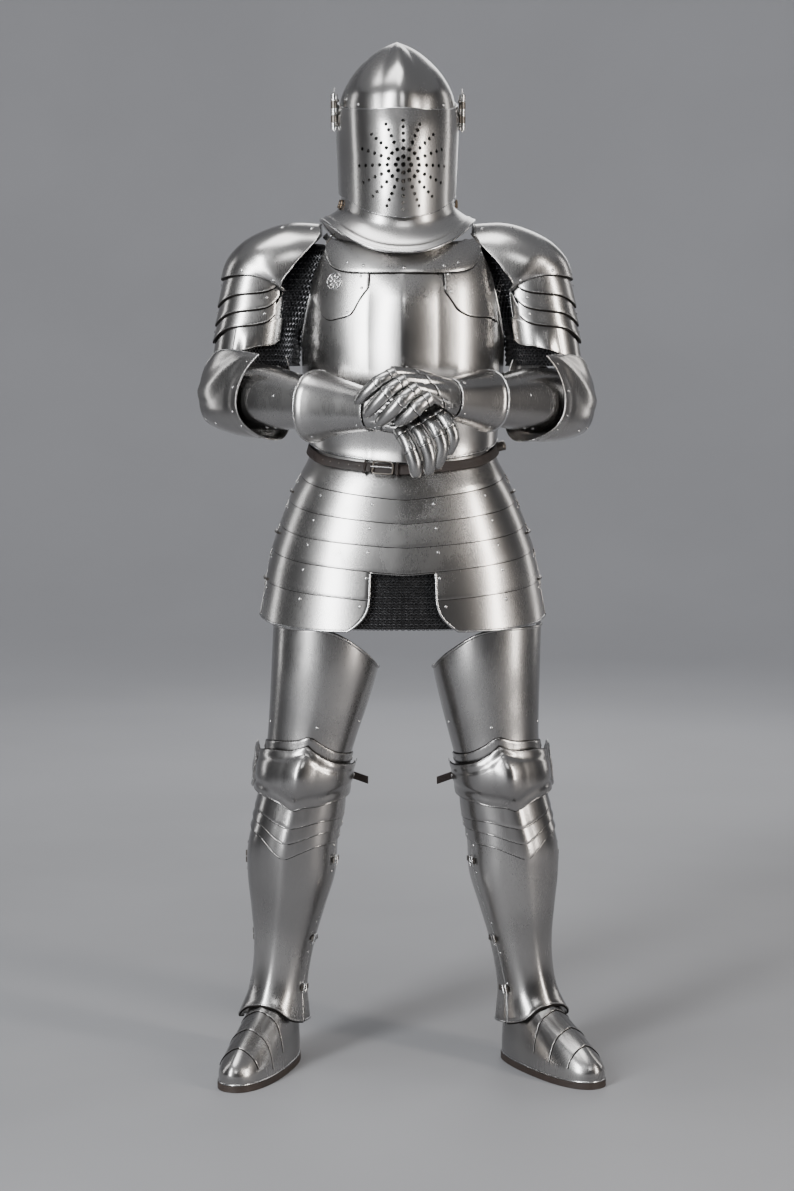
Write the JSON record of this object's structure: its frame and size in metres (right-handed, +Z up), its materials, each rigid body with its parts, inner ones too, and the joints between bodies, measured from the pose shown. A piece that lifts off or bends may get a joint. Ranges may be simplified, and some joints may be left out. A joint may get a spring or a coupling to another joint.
{
  "type": "suit of plate armour",
  "caption": "Hollow, worn suit of plate armour: helmet with lifting visor, laminated shoulders and hip skirt, mail, belt, gauntlets folded at the waist, greaves and shoes.",
  "frame": {"origin": "middle of the base of the wearer's neck, 1.480 m above the soles, inside the empty collar, where the suit is held up by its wearer", "axes": "+Z up, the wearer faces -Y, and the wearer's left is +X"},
  "size_m": [0.702, 0.5168, 1.7917],
  "materials": {
    "backplate": "satin brushed steel plate",
    "belt": "dark brown leather, slightly worn",
    "belt_buckle": "satin brushed steel plate",
    "breastplate": "satin brushed steel plate",
    "chest_plate_left": "satin brushed steel plate",
    "chest_plate_right": "satin brushed steel plate",
    "collar_buckle": "dull brass",
    "couter_left": "satin brushed steel plate",
    "couter_right": "satin brushed steel plate",
    "cuisse_left": "satin brushed steel plate",
    "cuisse_right": "satin brushed steel plate",
    "culet": "satin brushed steel plate",
    "fauld_lame_1": "satin brushed steel plate",
    "fauld_lame_2": "satin brushed steel plate",
    "fauld_lame_3": "satin brushed steel plate",
    "fauld_lame_4": "satin brushed steel plate",
    "fauld_lame_5": "satin brushed steel plate",
    "fauld_lame_6_left": "satin brushed steel plate",
    "fauld_lame_6_right": "satin brushed steel plate",
    "gauntlet_cuff_left": "satin brushed steel plate",
    "gauntlet_cuff_right": "satin brushed steel plate",
    "gauntlet_hand_left": "satin brushed steel plate",
    "gauntlet_hand_right": "satin brushed steel plate",
    "greave_back_left": "satin brushed steel plate",
    "greave_back_right": "satin brushed steel plate",
    "greave_front_left": "satin brushed steel plate",
    "greave_front_right": "satin brushed steel plate",
    "helmet_collar": "satin brushed steel plate",
    "helmet_skull": "satin brushed steel plate",
    "knee_strap_left": "dark brown leather, slightly worn",
    "knee_strap_right": "dark brown leather, slightly worn",
    "lower_cannon_left": "satin brushed steel plate",
    "lower_cannon_right": "satin brushed steel plate",
    "mail_skirt": "blackened mail of small linked rings",
    "mail_sleeve_left": "blackened mail of small linked rings",
    "mail_sleeve_right": "blackened mail of small linked rings",
    "neck_plate": "satin brushed steel plate",
    "pauldron_lame_1_left": "satin brushed steel plate",
    "pauldron_lame_1_right": "satin brushed steel plate",
    "pauldron_lame_2_left": "satin brushed steel plate",
    "pauldron_lame_2_right": "satin brushed steel plate",
    "pauldron_lame_3_left": "satin brushed steel plate",
    "pauldron_lame_3_right": "satin brushed steel plate",
    "pauldron_left": "satin brushed steel plate",
    "pauldron_right": "satin brushed steel plate",
    "poleyn_left": "satin brushed steel plate",
    "poleyn_lower_lame_left": "satin brushed steel plate",
    "poleyn_lower_lame_right": "satin brushed steel plate",
    "poleyn_right": "satin brushed steel plate",
    "poleyn_upper_lame_left": "satin brushed steel plate",
    "poleyn_upper_lame_right": "satin brushed steel plate",
    "sabaton_left": "satin brushed steel plate",
    "sabaton_right": "satin brushed steel plate",
    "sole_left": "dark brown leather, slightly worn",
    "sole_right": "dark brown leather, slightly worn",
    "upper_cannon_left": "satin brushed steel plate",
    "upper_cannon_right": "satin brushed steel plate",
    "visor": "satin brushed steel plate",
    "visor_hinge_left": "satin brushed steel plate",
    "visor_hinge_right": "satin brushed steel plate"
  },
  "bodies": {
    "suit": {"backplate": "backplate", "belt": "belt", "belt_buckle": "belt_buckle", "breastplate": "breastplate", "chest_plate_left": "chest_plate_left", "chest_plate_right": "chest_plate_right", "collar_buckle": "collar_buckle", "couter_left": "couter_left", "couter_right": "couter_right", "cuisse_left": "cuisse_left", "cuisse_right": "cuisse_right", "culet": "culet", "fauld_lame_1": "fauld_lame_1", "fauld_lame_2": "fauld_lame_2", "fauld_lame_3": "fauld_lame_3", "fauld_lame_4": "fauld_lame_4", "fauld_lame_5": "fauld_lame_5", "fauld_lame_6_left": "fauld_lame_6_left", "fauld_lame_6_right": "fauld_lame_6_right", "gauntlet_cuff_left": "gauntlet_cuff_left", "gauntlet_cuff_right": "gauntlet_cuff_right", "gauntlet_hand_left": "gauntlet_hand_left", "gauntlet_hand_right": "gauntlet_hand_right", "greave_back_left": "greave_back_left", "greave_back_right": "greave_back_right", "greave_front_left": "greave_front_left", "greave_front_right": "greave_front_right", "helmet_collar": "helmet_collar", "helmet_skull": "helmet_skull", "knee_strap_left": "knee_strap_left", "knee_strap_right": "knee_strap_right", "lower_cannon_left": "lower_cannon_left", "lower_cannon_right": "lower_cannon_right", "mail_skirt": "mail_skirt", "mail_sleeve_left": "mail_sleeve_left", "mail_sleeve_right": "mail_sleeve_right", "neck_plate": "neck_plate", "pauldron_lame_1_left": "pauldron_lame_1_left", "pauldron_lame_1_right": "pauldron_lame_1_right", "pauldron_lame_2_left": "pauldron_lame_2_left", "pauldron_lame_2_right": "pauldron_lame_2_right", "pauldron_lame_3_left": "pauldron_lame_3_left", "pauldron_lame_3_right": "pauldron_lame_3_right", "pauldron_left": "pauldron_left", "pauldron_right": "pauldron_right", "poleyn_left": "poleyn_left", "poleyn_lower_lame_left": "poleyn_lower_lame_left", "poleyn_lower_lame_right": "poleyn_lower_lame_right", "poleyn_right": "poleyn_right", "poleyn_upper_lame_left": "poleyn_upper_lame_left", "poleyn_upper_lame_right": "poleyn_upper_lame_right", "sabaton_left": "sabaton_left", "sabaton_right": "sabaton_right", "sole_left": "sole_left", "sole_right": "sole_right", "upper_cannon_left": "upper_cannon_left", "upper_cannon_right": "upper_cannon_right"},
    "visor": {"visor": "visor", "visor_hinge_left": "visor_hinge_left", "visor_hinge_right": "visor_hinge_right"}
  },
  "joints": [
    {"name": "visor_lift", "type": "hinge", "parent": "suit", "child": "visor", "pos_m": [-0.01, 0.01, 0.188], "axis": [-0.9976, -0.0698, 0], "range_deg": [0, 70]}
  ]
}
